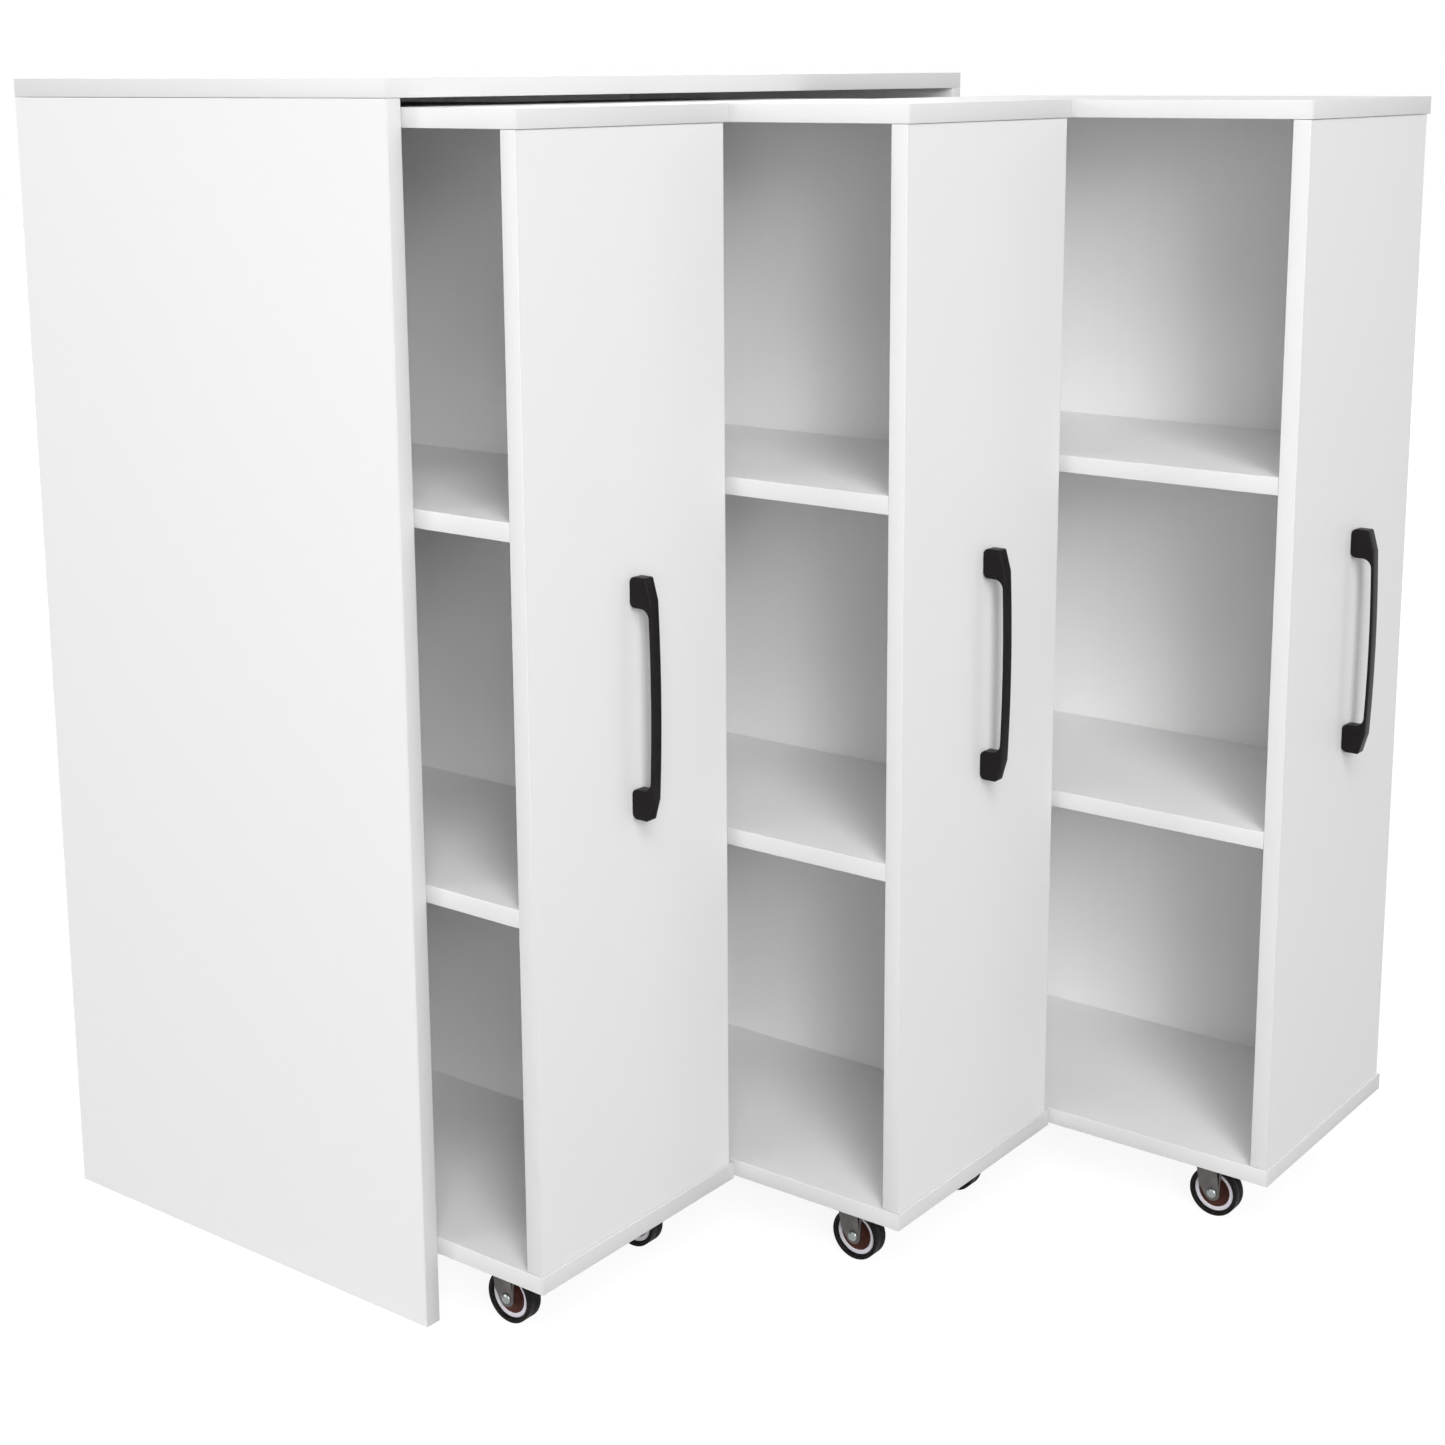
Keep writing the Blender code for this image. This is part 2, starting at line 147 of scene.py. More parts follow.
# Axle rivets and plate screws: a rim share is of the head's height, and a cross's length and
# width are shares of its radius; the cross narrows to its floor
BOLT_RADIUS = 0.0046
BOLT_HEIGHT = 0.0024
BOLT_RIM_SHARE = 0.3
BOLT_STEPS = 40
BOLT_SMOOTH = 40
DOME_STEPS = 8
PLATE_SCREW_RADIUS = 0.0030
PLATE_SCREW_HEIGHT = 0.0016
PLATE_SCREW_INSET = 0.005
SCREW_RIM_SHARE = 0.45
CROSS_LENGTH_SHARE = 1.1
CROSS_WIDTH_SHARE = 0.26
CROSS_DEPTH_SHARE = 0.62
CROSS_TAPER = 0.5
OVERRUN = 0.001

# Camera: place, direction in degrees, frame, lens as a share of the frame, and shift in frames
CAMERA_PLACE = (-1.6401, -1.216, 1.0032)
CAMERA_AZIMUTH = 37.289
CAMERA_PITCH = -11.376
CAMERA_ROLL = -0.341
CAMERA_FRAME = 0.036
CAMERA_LENS_SHARE = 1.6205
CAMERA_SHIFT = -0.125

# Floor: size, the distances over which it fades to plain white, and its strengths
FLOOR_SIZE = 30.0
FLOOR_NEAR = 1.2
FLOOR_FAR = 3.5
FLOOR_BOUNCE = 0.3
FLOOR_GLOW = 0.9
FLOOR_SHADE = 0.2

# Light: the world's strength, and for each soft light its place, its size and its power
WORLD_LIGHT = 0.22
AIM = (0.0, 0.0, 0.5)
SOFT_LIGHTS = {
    "key": ((-3.3, -3.9, 2.4), 1.8, 108.0),
    "top": ((-2.4, -2.4, 3.9), 2.4, 84.0),
    "fill": ((-5.5, -4.2, 1.3), 3.0, 95.0),
    "front_right": ((2.0, -4.5, 1.8), 2.0, 13.0),
    "rear_left": ((-5.6, 3.4, 1.6), 3.0, 104.0),
    "back": ((4.6, 4.6, 2.9), 3.0, 210.0),
}


def arc(centre, radius, start, end, steps):
    """Points on an arc of a circle, from one angle in degrees to another."""
    points = []
    for step in range(steps + 1):
        turn = math.radians(start + (end - start) * step / steps)
        points.append((centre[0] + radius * math.cos(turn), centre[1] + radius * math.sin(turn)))
    return points


# Materials

def finish(name, colour, roughness, metallic=0.0, mottle=0.02, mottle_scale=9.0, grain=1e-5,
           grain_scale=1400.0, stretch=(1.0, 1.0, 1.0), rough_spread=0.04, dust=None,
           specular=0.5):
    """A procedural finish: mottled colour, uneven roughness and a fine bumpy grain.

    Dust is given as its colour, its scale and the noise level where it starts.
    """
    made = bpy.data.materials.new(name)
    made.use_nodes = True
    nodes, links = made.node_tree.nodes, made.node_tree.links
    shader = nodes["Principled BSDF"]
    shader.inputs["Metallic"].default_value = metallic
    shader.inputs["Specular IOR Level"].default_value = specular
    place = nodes.new("ShaderNodeTexCoord").outputs["Object"]
    stretched = nodes.new("ShaderNodeMapping")
    stretched.inputs["Scale"].default_value = stretch
    links.new(place, stretched.inputs["Vector"])

    def noise(scale, detail, source):
        """The level of a noise over the coordinates of the source."""
        made_noise = nodes.new("ShaderNodeTexNoise")
        made_noise.inputs["Scale"].default_value = scale
        made_noise.inputs["Detail"].default_value = detail
        links.new(source, made_noise.inputs["Vector"])
        return made_noise.outputs["Fac"]

    broad = noise(mottle_scale, BROAD_DETAIL, stretched.outputs["Vector"])
    tone = nodes.new("ShaderNodeMix")
    tone.data_type = "RGBA"
    dark = tuple(channel * (1 - mottle) for channel in colour)
    light = tuple(min(1.0, channel * (1 + mottle)) for channel in colour)
    tone.inputs["A"].default_value = (*dark, 1.0)
    tone.inputs["B"].default_value = (*light, 1.0)
    links.new(broad, tone.inputs["Factor"])
    colour_out = tone.outputs["Result"]
    if dust:
        dust_colour, dust_scale, dust_edge = dust
        spots = nodes.new("ShaderNodeMapRange")
        spots.inputs["From Min"].default_value = dust_edge
        spots.inputs["From Max"].default_value = dust_edge + DUST_FADE
        links.new(noise(dust_scale, DUST_DETAIL, place), spots.inputs["Value"])
        dusty = nodes.new("ShaderNodeMix")
        dusty.data_type = "RGBA"
        dusty.inputs["B"].default_value = (*dust_colour, 1.0)
        links.new(spots.outputs["Result"], dusty.inputs["Factor"])
        links.new(colour_out, dusty.inputs["A"])
        colour_out = dusty.outputs["Result"]
    links.new(colour_out, shader.inputs["Base Color"])

    uneven = nodes.new("ShaderNodeMapRange")
    uneven.inputs["To Min"].default_value = roughness - rough_spread
    uneven.inputs["To Max"].default_value = roughness + rough_spread
    fine = noise(grain_scale, FINE_DETAIL, stretched.outputs["Vector"])
    links.new(fine, uneven.inputs["Value"])
    links.new(uneven.outputs["Result"], shader.inputs["Roughness"])

    bump = nodes.new("ShaderNodeBump")
    bump.inputs["Distance"].default_value = grain
    links.new(fine, bump.inputs["Height"])
    links.new(bump.outputs["Normal"], shader.inputs["Normal"])
    return made


MATERIALS = {
    "melamine": finish(
        "white_melamine", (0.895, 0.895, 0.893), 0.5, mottle=0.006, mottle_scale=3.0,
        grain=1.2e-5, grain_scale=1600.0, specular=0.15),
    # Painted shade: the bands are darker than the melamine to stand in for the shade on the boards'
    # edges
    "band": finish(
        "edge_band_painted_shade", (0.78, 0.78, 0.777), 0.42, mottle=0.008, mottle_scale=14.0,
        grain=0.8e-5, grain_scale=900.0, specular=0.3),
    "hardboard": finish(
        "white_hardboard", (0.91, 0.91, 0.908), 0.5, mottle=0.012, mottle_scale=60.0,
        stretch=(1.0, 1.0, 0.05), grain=2.5e-5, grain_scale=500.0, specular=0.2),
    "handle": finish(
        "black_satin", (0.0075, 0.0055, 0.0060), 0.40, mottle=0.25, mottle_scale=60.0,
        grain=1.6e-5, grain_scale=2600.0, rough_spread=0.08, specular=0.16),
    "tyre": finish(
        "black_tyre", (0.0045, 0.0036, 0.0036), 0.6, mottle=0.3, mottle_scale=160.0,
        grain=3e-5, grain_scale=1800.0, dust=((0.031, 0.025, 0.023), 420.0, 0.5),
        specular=0.12),
    "ring": finish(
        "pale_lilac_ring", (0.79, 0.755, 0.82), 0.4, mottle=0.03, mottle_scale=120.0,
        grain=1.5e-5, grain_scale=1500.0),
    "hub": finish(
        "dark_brown_hub", (0.078, 0.030, 0.023), 0.5, mottle=0.25, mottle_scale=140.0,
        grain=2.5e-5, grain_scale=1500.0, specular=0.08),
    "steel": finish(
        "zinc_sheet", (0.118, 0.110, 0.106), 0.44, metallic=1.0, mottle=0.45, mottle_scale=110.0,
        grain=2e-5, grain_scale=1300.0, rough_spread=0.1),
    # Painted shade: a near-black finish on the fork's groove, standing in for the shadow inside it
    "groove": finish(
        "painted_groove_shade", (0.016, 0.013, 0.012), 0.6, mottle=0.4, mottle_scale=300.0,
        grain=3e-5, grain_scale=1500.0, specular=0.1),
    "bolt": finish(
        "bright_zinc", (0.28, 0.31, 0.305), 0.3, metallic=1.0, mottle=0.12, mottle_scale=500.0,
        grain=1e-5, grain_scale=2200.0, rough_spread=0.06),
}


# Meshes

def finished_mesh(bm, name, material, smooth_angle=None):
    """Turn a bmesh into a mesh with outward faces and its material."""
    bmesh.ops.recalc_face_normals(bm, faces=bm.faces)
    mesh = bpy.data.meshes.new(name)
    bm.to_mesh(mesh)
    bm.free()
    mesh.materials.append(MATERIALS[material])
    if smooth_angle is not None:
        mesh.shade_smooth()
        mesh.set_sharp_from_angle(angle=math.radians(smooth_angle))
    return mesh


def new_object(name, data):
    """An object with this data, linked to the scene."""
    made = bpy.data.objects.new(name, data)
    bpy.context.scene.collection.objects.link(made)
    return made


def edges_at(vertices):
    """The edges that meet these vertices, each once and in a fixed order."""
    return list(dict.fromkeys(edge for vertex in vertices for edge in vertex.link_edges))


def round_edges(bm, edges, offset, steps):
    """Round edges over, starting at an offset from each."""
    bmesh.ops.bevel(
        bm, geom=edges, offset=offset, segments=steps, profile=ROUND_PROFILE, affect="EDGES")


def add_box(bm, low, high):
    """Add a box between two corners, and return its vertices."""
    made = bmesh.ops.create_cube(bm, size=1.0)["verts"]
    for vertex in made:
        for axis in (X, Y, Z):
            vertex.co[axis] = high[axis] if vertex.co[axis] > 0 else low[axis]
    return made


def add_prism(bm, outline, low, high, axis, edge, edge_steps):
    """Add an outline in the plane across an axis, extruded along it, with its rims rounded."""
    across = [index for index in (X, Y, Z) if index != axis]

    def point(pair):
        """A point of the outline, placed at the prism's low end."""
        place = [0.0, 0.0, 0.0]
        place[axis] = low
        place[across[0]], place[across[1]] = pair
        return place

    face = bm.faces.new([bm.verts.new(point(pair)) for pair in outline])
    pushed = bmesh.ops.extrude_face_region(bm, geom=[face])["geom"]
    moved = [item for item in pushed if isinstance(item, bmesh.types.BMVert)]
    push = [0.0, 0.0, 0.0]
    push[axis] = high - low
    bmesh.ops.translate(bm, verts=moved, vec=push)
    rims = [
        rim for rim in edges_at([*face.verts, *moved])
        if rim.verts[0].co[axis] == rim.verts[1].co[axis]]
    round_edges(bm, rims, edge, edge_steps)


def add_turned(bm, profile, steps, closed=False):
    """Add a profile of (x, radius) points, turned about the X axis."""
    points = [bm.verts.new((x, 0, -radius)) for x, radius in profile]
    edges = [bm.edges.new(pair) for pair in zip(points, points[1:])]
    if closed:
        edges.append(bm.edges.new((points[-1], points[0])))
    bmesh.ops.spin(
        bm, geom=points + edges, cent=(0, 0, 0), axis=(1, 0, 0), angle=math.tau, steps=steps,
        use_merge=True)
    bmesh.ops.remove_doubles(bm, verts=bm.verts, dist=MERGE_DISTANCE)


def turned_mesh(name, profile, steps, material, closed=False, smooth_angle=TURNED_SMOOTH):
    """A mesh of one profile, turned about the X axis."""
    bm = bmesh.new()
    add_turned(bm, profile, steps, closed)
    return finished_mesh(bm, name, material, smooth_angle)


def add_piece(name, mesh, body, place=(0, 0, 0), node=None, turn=None):
    """Put a mesh in the scene on a body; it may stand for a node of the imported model."""
    piece = new_object(name, mesh)
    piece.location = place
    if turn:
        piece.rotation_euler = turn
    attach(piece, body)
    if node:
        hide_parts(node)


# Boards

def add_band(bm, low, high, axis, side, lengthen):
    """Add the band of one face of a board; it may run on over the ends of its neighbours."""
    low, high = list(low), list(high)
    if side < 0:
        high[axis] = low[axis] + BAND_SEAT
        low[axis] -= BAND_PROUD
        outer = low[axis]
    else:
        low[axis] = high[axis] - BAND_SEAT
        high[axis] += BAND_PROUD
        outer = high[axis]
    for along in lengthen:
        low[along] -= BAND_PROUD
        high[along] += BAND_PROUD
    made = add_box(bm, low, high)
    rim = [
        edge for edge in edges_at(made)
        if all(abs(vertex.co[axis] - outer) < BAND_PROUD for vertex in edge.verts)]
    round_edges(bm, rim, BAND_ROUND, BAND_STEPS)


def band_board(node, body, faces):
    """Band the named faces of a board; each is (axis, side, axes along which it runs on)."""
    bm = bmesh.new()
    low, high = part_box(node)
    for axis, side, lengthen in faces:
        add_band(bm, low, high, axis, side, lengthen)
    mesh = finished_mesh(bm, f"{node}_band", "band", BAND_SMOOTH)
    add_piece(f"{node}_band", mesh, body)


def node_material(name):
    """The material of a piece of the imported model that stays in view."""
    if name.endswith("_wall") or name == "case_back":
        return "hardboard"
    return "melamine"


def add_boards():
    """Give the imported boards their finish, and band their visible edges."""
    for name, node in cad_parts.items():
        node.data.materials.clear()
        node.data.materials.append(MATERIALS[node_material(name)])
    sides = [(X, -1, ()), (X, 1, ())]
    long_front, long_rear = (Y, -1, (X,)), (Y, 1, (X,))
    band_board("case_top", "case", [*sides, long_front])
    for side in SIDES:
        band_board(f"case_side_{side}", "case", [(Y, -1, ())])
    for unit in UNITS:
        body = f"{unit}_unit"
        for board in ("top", "bottom"):
            band_board(f"{body}_{board}", body, [*sides, long_front, long_rear])
        for board in ENDS:
            band_board(f"{body}_{board}", body, sides)
        for number in SHELVES:
            band_board(f"{body}_shelf_{number}", body, [(X, -1, ())])


# Handles

def handle_outline(length, reach):
    """Half of the side view, from the middle to the foot: (distance out, height) points."""
    end = length / 2
    shoulder = end - SHOULDER_RUN
    foot = end - FOOT_LENGTH
    fillet_end = foot - FOOT_FILLET

    def outer(height):
        """How far out the bowed bar's outer face is at a height."""
        return reach - HANDLE_BOW * (height / shoulder) ** 2

    points = []
    for step in range(CURVE_STEPS + 1):
        height = shoulder * step / CURVE_STEPS
        points.append((outer(height), height))
    slope = math.atan2(SHOULDER_DROP, SHOULDER_RUN)
    corner = outer(shoulder) - SHOULDER_DROP
    inset = SHOULDER_ROUND * (1 - math.sin(slope)) / math.cos(slope)
    points += arc(
        (corner - inset, end - SHOULDER_ROUND), SHOULDER_ROUND, math.degrees(slope), 90,
        CURVE_STEPS // 2)
    back = HANDLE_GAP + FOOT_ROUND
    inner = outer(fillet_end) - HANDLE_THICKNESS
    points += arc((back, end - FOOT_ROUND), FOOT_ROUND, 90, 180, CURVE_STEPS // 2)
    points += arc((back, foot + FOOT_ROUND), FOOT_ROUND, 180, 270, CURVE_STEPS // 2)
    points += arc((inner - FOOT_FILLET, fillet_end), FOOT_FILLET, 90, 0, CURVE_STEPS)
    for step in range(CURVE_STEPS - 1, -1, -1):
        height = fillet_end * step / CURVE_STEPS
        points.append((outer(height) - HANDLE_THICKNESS, height))
    return points


def add_handles():
    """Model the arched handle, and put it on each front panel."""
    low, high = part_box("left_unit_handle")
    width, length = high.x - low.x, high.z - low.z
    half = handle_outline(length, high.y - low.y + HANDLE_GAP)
    outline = [(-out, height) for out, height in half]
    outline += [(-out, -height) for out, height in reversed(half[1:-1])]
    bm = bmesh.new()
    add_prism(bm, outline, -width / 2, width / 2, X, HANDLE_EDGE, HANDLE_EDGE_STEPS)
    mesh = finished_mesh(bm, "handle", "handle", HANDLE_SMOOTH)
    for unit in UNITS:
        node = f"{unit}_unit_handle"
        low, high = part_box(node)
        place = ((low.x + high.x) / 2, high.y + HANDLE_GAP, (low.z + high.z) / 2)
        add_piece(f"{unit}_handle", mesh, f"{unit}_unit", place, node)


def dome(base, radius, height, rim_share):
    """A round head's profile, from its rim to its middle."""
    rim = rim_share * height
    points = [(base, radius)]
    for step in range(DOME_STEPS):
        turn = QUARTER_TURN * step / DOME_STEPS
        points.append((
            base + rim + (height - rim) * math.sin(turn), radius * math.cos(turn)))
    return [*points, (base + height, 0)]


def cross_cut(mesh, radius, height):
    """Cut a cross recess into the head of a screw that points along +X."""
    bm = bmesh.new()
    half_length = CROSS_LENGTH_SHARE * radius / 2
    half_width = CROSS_WIDTH_SHARE * radius / 2
    depth = CROSS_DEPTH_SHARE * height
    for reach_y, reach_z in ((half_length, half_width), (half_width, half_length)):
        made = add_box(
            bm, (height - depth, -reach_y, -reach_z), (height + OVERRUN, reach_y, reach_z))
        for vertex in made:
            if vertex.co.x < height:
                vertex.co.y *= CROSS_TAPER
                vertex.co.z *= CROSS_TAPER
    base = new_object("screw_blank", mesh)
    cutter = new_object("cross", finished_mesh(bm, "cross", "bolt"))
    cut = base.modifiers.new("cross", "BOOLEAN")
    cut.object = cutter
    cut.use_self = True
    result = bpy.data.meshes.new_from_object(
        base.evaluated_get(bpy.context.evaluated_depsgraph_get()))
    for item in (base, cutter):
        bpy.data.objects.remove(item)
    return result


def screw_head_mesh(name, radius, height):
    """A pan head with its cross recess; its seat is at x = 0 and it points along +X."""
    profile = [(0, 0), *dome(0, radius, height, SCREW_RIM_SHARE)]
    blank = turned_mesh(name, profile, BOLT_STEPS, "bolt")
    head = cross_cut(blank, radius, height)
    head.name = name
    return head


def add_handle_screws():
    """Put the heads of the handle screws on the inner side of each front panel."""
    low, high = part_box("left_unit_handle_screw_lower")
    panel_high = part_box("left_unit_front")[1]
    height = high.y - panel_high.y
    mesh = screw_head_mesh("handle_screw_head", (high.z - low.z) / 2, height)
    for unit in UNITS:
        panel_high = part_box(f"{unit}_unit_front")[1]
        for level in ("lower", "upper"):
            node = f"{unit}_unit_handle_screw_{level}"
            low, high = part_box(node)
            place = ((low.x + high.x) / 2, panel_high.y, (low.z + high.z) / 2)
            add_piece(
                f"{unit}_handle_screw_head_{level}", mesh, f"{unit}_unit", place,
                node, (0, 0, QUARTER_TURN))


# Casters

def both_sides(side):
    """The closed profile of a piece of the wheel, from the profile of its right side."""
    return side + [(-x, radius) for x, radius in reversed(side)]


def tyre_mesh(radius):
    """The tyre: round shoulders, a parting line, and sides that dip to the ring."""
    ring_plane = TYRE_HALF_WIDTH - RING_SINK
    side = [
        (ring_plane - RING_ROUND, RING_OUTER - JOINT_SINK), (ring_plane, RING_OUTER),
        *arc(
            (TYRE_HALF_WIDTH - LIP_ROUND, TYRE_LIP + LIP_ROUND), LIP_ROUND, 270, 360,
            RING_ROUND_STEPS)]
    side += arc(
        (TYRE_HALF_WIDTH - TREAD_ROUND, radius - TREAD_ROUND), TREAD_ROUND, 0, 90,
        TREAD_ROUND_STEPS)
    side += [(2 * PARTING_WIDTH, radius), (PARTING_WIDTH, radius - PARTING_DEPTH)]
    return turned_mesh("tyre", both_sides(side), WHEEL_STEPS, "tyre", True, TYRE_SMOOTH)


def ring_mesh():
    """The pale ring of the rim, between the tyre and the hub."""
    centre_x = TYRE_HALF_WIDTH - RING_SINK - RING_ROUND
    side = arc((centre_x, RING_INNER + RING_ROUND), RING_ROUND, 270, 360, RING_ROUND_STEPS)
    side += arc((centre_x, RING_OUTER - RING_ROUND), RING_ROUND, 0, 90, RING_ROUND_STEPS)
    return turned_mesh("rim_ring", both_sides(side), WHEEL_STEPS, "ring", True)


def hub_mesh(boss_half):
    """The dark hub: a boss that the axle runs through, and a dish around it on each side."""
    lip = TYRE_HALF_WIDTH - RING_SINK - HUB_LIP
    floor = TYRE_HALF_WIDTH - HUB_DISH
    foot = BOSS_RADIUS + BOSS_ROUND
    side = [
        (boss_half, BORE_RADIUS), (boss_half, BOSS_RADIUS - BOSS_ROUND),
        (boss_half - BOSS_ROUND, BOSS_RADIUS), (floor, foot)]
    for step in range(1, CURVE_STEPS + 1):
        share = step / CURVE_STEPS
        side.append((
            floor + (lip - floor) * share ** HUB_DISH_POWER, foot + (RING_INNER - foot) * share))
    side.append((lip, RING_INNER + JOINT_SINK))
    return turned_mesh("hub", both_sides(side), WHEEL_STEPS, "hub", True)


def leg_outline(top, front_reach):
    """The leg's outline about the axle, with straight edges that touch its round end."""
    rear, front = (LEG_REAR_REACH, top), (-front_reach, top)
    knee = (LEG_KNEE_REACH, LEG_KNEE_HEIGHT)
    front_turn = math.atan2(front[1], front[0]) + math.acos(LEG_END_RADIUS / math.hypot(*front))
    rear_turn = math.atan2(knee[1], knee[0]) - math.acos(LEG_END_RADIUS / math.hypot(*knee))
    return [knee, rear, front, *arc(
        (0, 0), LEG_END_RADIUS, math.degrees(front_turn), math.degrees(rear_turn) + 360,
        LEG_STEPS)]


def plate_outline(half_width, half_length):
    """The caster's top plate, seen from above, as (x, y) points."""
    points = []
    for side_x, side_y, start in ((1, 1, 0), (-1, 1, 90), (-1, -1, 180), (1, -1, 270)):
        centre = (side_x * (half_width - PLATE_CORNER), side_y * (half_length - PLATE_CORNER))
        points += arc(centre, PLATE_CORNER, start, start + 90, PLATE_CORNER_STEPS)
    return points


def bridge_outline(leg_top):
    """The sheet that joins the legs, bent down at both sides, as (x, z) points."""
    bend_x = LEG_INNER - BEND_RADIUS
    outer_radius = BEND_RADIUS + FORK_SHEET
    return [
        *arc((bend_x, leg_top), outer_radius, 0, 90, BEND_STEPS),
        *arc((-bend_x, leg_top), outer_radius, 90, 180, BEND_STEPS),
        *arc((-bend_x, leg_top), BEND_RADIUS, 180, 90, BEND_STEPS),
        *arc((bend_x, leg_top), BEND_RADIUS, 90, 0, BEND_STEPS)]


def flange_outline(leg_top):
    """The strip that the leg's folded front edge shows, as (y, z) points."""
    slant = (LEG_FRONT_REACH - LEG_END_RADIUS) * (1 - FLANGE_END_HEIGHT / leg_top)
    end_front = -LEG_FRONT_REACH + slant
    return [
        (-LEG_FRONT_REACH + FLANGE_WIDTH, leg_top), (-LEG_FRONT_REACH, leg_top),
        (end_front, FLANGE_END_HEIGHT), (end_front + FLANGE_END_WIDTH, FLANGE_END_HEIGHT)]


def is_in_groove(centre, floor_x, outer_x, main_reach):
    """Whether the face about this centre is the groove's floor or one of its walls."""
    is_floor = abs(abs(centre.x) - floor_x) < MERGE_DISTANCE
    is_wall = (
        floor_x < abs(centre.x) < outer_x - FORK_EDGE and centre.z > FLANGE_END_HEIGHT
        and FLANGE_WIDTH - LEG_FRONT_REACH - MERGE_DISTANCE < centre.y < -main_reach)
    return is_floor or is_wall


def fork_mesh(half_width, half_length, plate_top):
    """A pressed fork about its axle: top plate, bridge and two legs with a folded front edge, whose
    groove is painted near black as shade.
    """
    bm = bmesh.new()
    plate_low = plate_top - FORK_SHEET
    leg_top = plate_low - FORK_SHEET - BEND_RADIUS
    add_prism(
        bm, plate_outline(half_width, half_length), plate_low, plate_top, Z, FORK_EDGE,
        FORK_EDGE_STEPS)
    add_prism(
        bm, bridge_outline(leg_top), -LEG_FRONT_REACH, LEG_REAR_REACH, Y, FORK_EDGE,
        FORK_EDGE_STEPS)
    floor_x = LEG_INNER + FORK_SHEET * FLANGE_FLOOR_SHARE
    outer_x = LEG_INNER + FORK_SHEET
    main_reach = LEG_FRONT_REACH - FLANGE_WIDTH - FLANGE_GROOVE
    layers = (
        (leg_outline(leg_top, LEG_FRONT_REACH), LEG_INNER, floor_x),
        (leg_outline(leg_top, main_reach), floor_x - FORK_EDGE, outer_x),
        (flange_outline(leg_top), floor_x - FORK_EDGE, outer_x))
    for side in (-1, 1):
        for outline, near, far in layers:
            low, high = sorted((side * near, side * far))
            add_prism(bm, outline, low, high, X, FORK_EDGE, FORK_EDGE_STEPS)
    # Paint the groove's floor and walls near black, as shade in the groove
    for face in bm.faces:
        if is_in_groove(face.calc_center_median(), floor_x, outer_x, main_reach):
            face.material_index = GROOVE_SHADE_INDEX
    mesh = finished_mesh(bm, "fork", "steel", FORK_SMOOTH)
    mesh.materials.append(MATERIALS["groove"])
    return mesh


def bolt_mesh():
    """Both domed heads of the axle rivet, each with its thin rim."""
    bm = bmesh.new()
    base = LEG_INNER + FORK_SHEET - FORK_EDGE
    height = BOLT_HEIGHT + FORK_EDGE
    head = [(base, 0), *dome(base, BOLT_RADIUS, height, BOLT_RIM_SHARE)]
    for side in (-1, 1):
        add_turned(bm, [(side * x, radius) for x, radius in head], BOLT_STEPS)
    return finished_mesh(bm, "axle_rivet", "bolt", BOLT_SMOOTH)


def plate_screws_mesh(half_width, half_length, plate_low):
    """The four screw heads under the plate's corners, as one mesh."""
    head = screw_head_mesh("plate_screw_head", PLATE_SCREW_RADIUS, PLATE_SCREW_HEIGHT)
    bm = bmesh.new()
    turn = Matrix.Rotation(QUARTER_TURN, 4, "Y")
    for side_x in (-1, 1):
        for side_y in (-1, 1):
            place = Vector((
                side_x * (half_width - PLATE_SCREW_INSET),
                side_y * (half_length - PLATE_SCREW_INSET), plate_low))
            copy = head.copy()
            copy.transform(Matrix.Translation(place) @ turn)
            bm.from_mesh(copy)
            bpy.data.meshes.remove(copy)
    return finished_mesh(bm, "plate_screws", "bolt", TURNED_SMOOTH)


def add_casters():
    """Model one caster, and put its pieces at each of the twelve places."""
    wheel_low, wheel_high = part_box("left_unit_wheel_front_left")
    fork_low, fork_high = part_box("left_unit_fork_front_left")
    radius = (wheel_high.z - wheel_low.z) / 2
    plate_top = fork_high.z - (wheel_low.z + radius)
    half_width = (fork_high.x - fork_low.x) / 2
    half_length = (fork_high.y - fork_low.y) / 2
    tyre, ring = tyre_mesh(radius), ring_mesh()
    hub = hub_mesh((wheel_high.x - wheel_low.x) / 2)
    fork = fork_mesh(half_width, half_length, plate_top)
    bolt = bolt_mesh()
    screws = plate_screws_mesh(half_width, half_length, plate_top - FORK_SHEET)
    for unit in UNITS:
        for end in ENDS:
            for side in SIDES:
                where = f"{unit}_{end}_{side}"
                wheel_node = f"{unit}_unit_wheel_{end}_{side}"
                low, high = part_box(wheel_node)
                place = (low + high) / 2
                body, wheel_body = f"{unit}_unit", f"{unit}_wheel_{end}_{side}"
                add_piece(f"tyre_{where}", tyre, wheel_body, place, wheel_node)
                add_piece(f"rim_ring_{where}", ring, wheel_body, place)
                add_piece(f"hub_{where}", hub, wheel_body, place)
                add_piece(
                    f"fork_{where}", fork, body, place,
                    f"{unit}_unit_fork_{end}_{side}")
                add_piece(f"axle_rivet_{where}", bolt, body, place)
                add_piece(f"plate_screws_{where}", screws, body, place)


# Floor, light and camera

def seen_ray(nodes, links):
    """One where the camera, a reflection or a see-through surface looks, and zero elsewhere."""
    path = nodes.new("ShaderNodeLightPath")
    value = path.outputs["Is Camera Ray"]
    for name in ("Is Glossy Ray", "Is Transmission Ray"):
        larger = nodes.new("ShaderNodeMath")
        larger.operation = "MAXIMUM"
        links.new(value, larger.inputs[0])
        links.new(path.outputs[name], larger.inputs[1])
        value = larger.outputs["Value"]
    return value


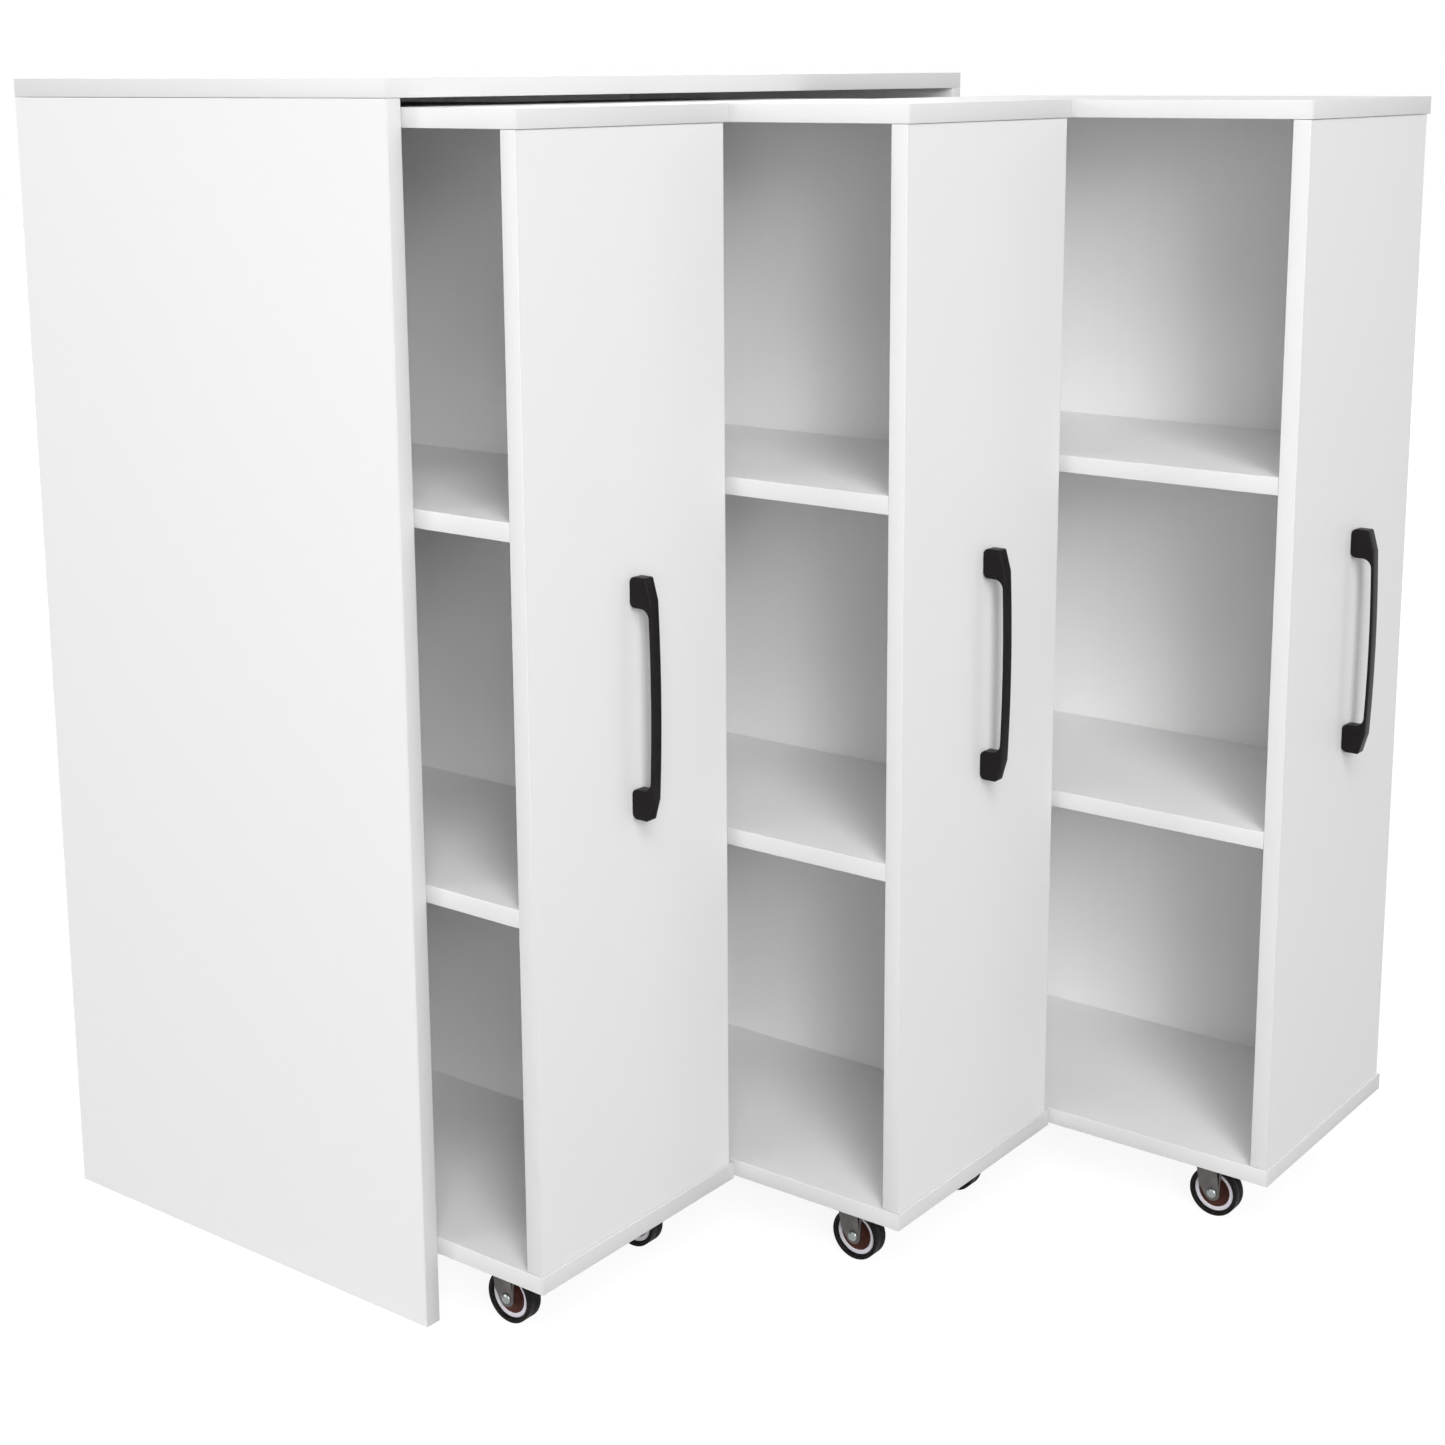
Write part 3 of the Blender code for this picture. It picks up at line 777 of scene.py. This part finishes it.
def add_world():
    """White where it is seen, and a weak even light everywhere else."""
    world = bpy.data.worlds.new("studio")
    world.use_nodes = True
    bpy.context.scene.world = world
    nodes, links = world.node_tree.nodes, world.node_tree.links
    light = nodes["Background"]
    light.inputs["Color"].default_value = WHITE
    light.inputs["Strength"].default_value = WORLD_LIGHT
    backdrop = nodes.new("ShaderNodeBackground")
    backdrop.inputs["Color"].default_value = WHITE
    backdrop.inputs["Strength"].default_value = 1.0
    mix = nodes.new("ShaderNodeMixShader")
    links.new(seen_ray(nodes, links), mix.inputs["Fac"])
    links.new(light.outputs["Background"], mix.inputs[1])
    links.new(backdrop.outputs["Background"], mix.inputs[2])
    links.new(mix.outputs["Shader"], nodes["World Output"].inputs["Surface"])


def floor_material():
    """White where it is seen, apart from the object's soft shadow; a pale floor to the light."""
    made = bpy.data.materials.new("pale_floor")
    made.use_nodes = True
    nodes, links = made.node_tree.nodes, made.node_tree.links
    nodes.remove(nodes["Principled BSDF"])
    bounce = nodes.new("ShaderNodeBsdfDiffuse")
    bounce.inputs["Color"].default_value = (FLOOR_BOUNCE, FLOOR_BOUNCE, FLOOR_BOUNCE, 1.0)
    far = nodes.new("ShaderNodeVectorMath")
    far.operation = "LENGTH"
    links.new(nodes.new("ShaderNodeTexCoord").outputs["Object"], far.inputs[0])
    level = nodes.new("ShaderNodeMapRange")
    level.interpolation_type = "SMOOTHSTEP"
    level.inputs["From Min"].default_value = FLOOR_NEAR
    level.inputs["From Max"].default_value = FLOOR_FAR
    level.inputs["To Min"].default_value = FLOOR_GLOW
    links.new(far.outputs["Value"], level.inputs["Value"])
    glow = nodes.new("ShaderNodeEmission")
    links.new(level.outputs["Result"], glow.inputs["Strength"])
    shade = nodes.new("ShaderNodeBsdfDiffuse")
    shade.inputs["Color"].default_value = (FLOOR_SHADE, FLOOR_SHADE, FLOOR_SHADE, 1.0)
    seen = nodes.new("ShaderNodeAddShader")
    links.new(glow.outputs["Emission"], seen.inputs[0])
    links.new(shade.outputs["BSDF"], seen.inputs[1])
    mix = nodes.new("ShaderNodeMixShader")
    links.new(seen_ray(nodes, links), mix.inputs["Fac"])
    links.new(bounce.outputs["BSDF"], mix.inputs[1])
    links.new(seen.outputs["Shader"], mix.inputs[2])
    links.new(mix.outputs["Shader"], nodes["Material Output"].inputs["Surface"])
    return made


def add_floor():
    """A wide floor, for the object's soft shadow and the light that comes back up."""
    bm = bmesh.new()
    bmesh.ops.create_grid(bm, x_segments=1, y_segments=1, size=FLOOR_SIZE / 2)
    mesh = bpy.data.meshes.new("floor")
    bm.to_mesh(mesh)
    bm.free()
    mesh.materials.append(floor_material())
    new_object("floor", mesh)


def add_lights():
    """Round soft lights, all aimed at the middle of the case."""
    for name, (place, size, power) in SOFT_LIGHTS.items():
        data = bpy.data.lights.new(name, "AREA")
        data.shape = "DISK"
        data.size = size
        data.energy = power
        lamp = new_object(name, data)
        lamp.location = place
        lamp.rotation_euler = (Vector(AIM) - Vector(place)).to_track_quat("-Z", "Y").to_euler()


def add_camera():
    """The photograph's point of view, turned down a little and with part of the lens shift."""
    azimuth, pitch, roll = (
        math.radians(turn) for turn in (CAMERA_AZIMUTH, CAMERA_PITCH, CAMERA_ROLL))
    ahead = Vector((
        math.cos(azimuth) * math.cos(pitch), math.sin(azimuth) * math.cos(pitch),
        math.sin(pitch)))
    level = Vector((math.sin(azimuth), -math.cos(azimuth), 0))
    upright = level.cross(ahead)
    right = level * math.cos(roll) + upright * math.sin(roll)
    up = upright * math.cos(roll) - level * math.sin(roll)
    data = bpy.data.cameras.new("camera")
    data.sensor_width = MILLIMETRES * CAMERA_FRAME
    data.lens = MILLIMETRES * CAMERA_FRAME * CAMERA_LENS_SHARE
    data.shift_y = CAMERA_SHIFT
    data.dof.use_dof = False
    camera = new_object("camera", data)
    turn = Matrix((right, up, -ahead)).transposed()
    camera.matrix_world = Matrix.Translation(CAMERA_PLACE) @ turn.to_4x4()
    bpy.context.scene.camera = camera


add_boards()
add_handles()
add_handle_screws()
add_casters()
add_world()
add_floor()
add_lights()
add_camera()
bpy.context.scene.view_settings.view_transform = "Standard"

bpy.context.view_layer.update()
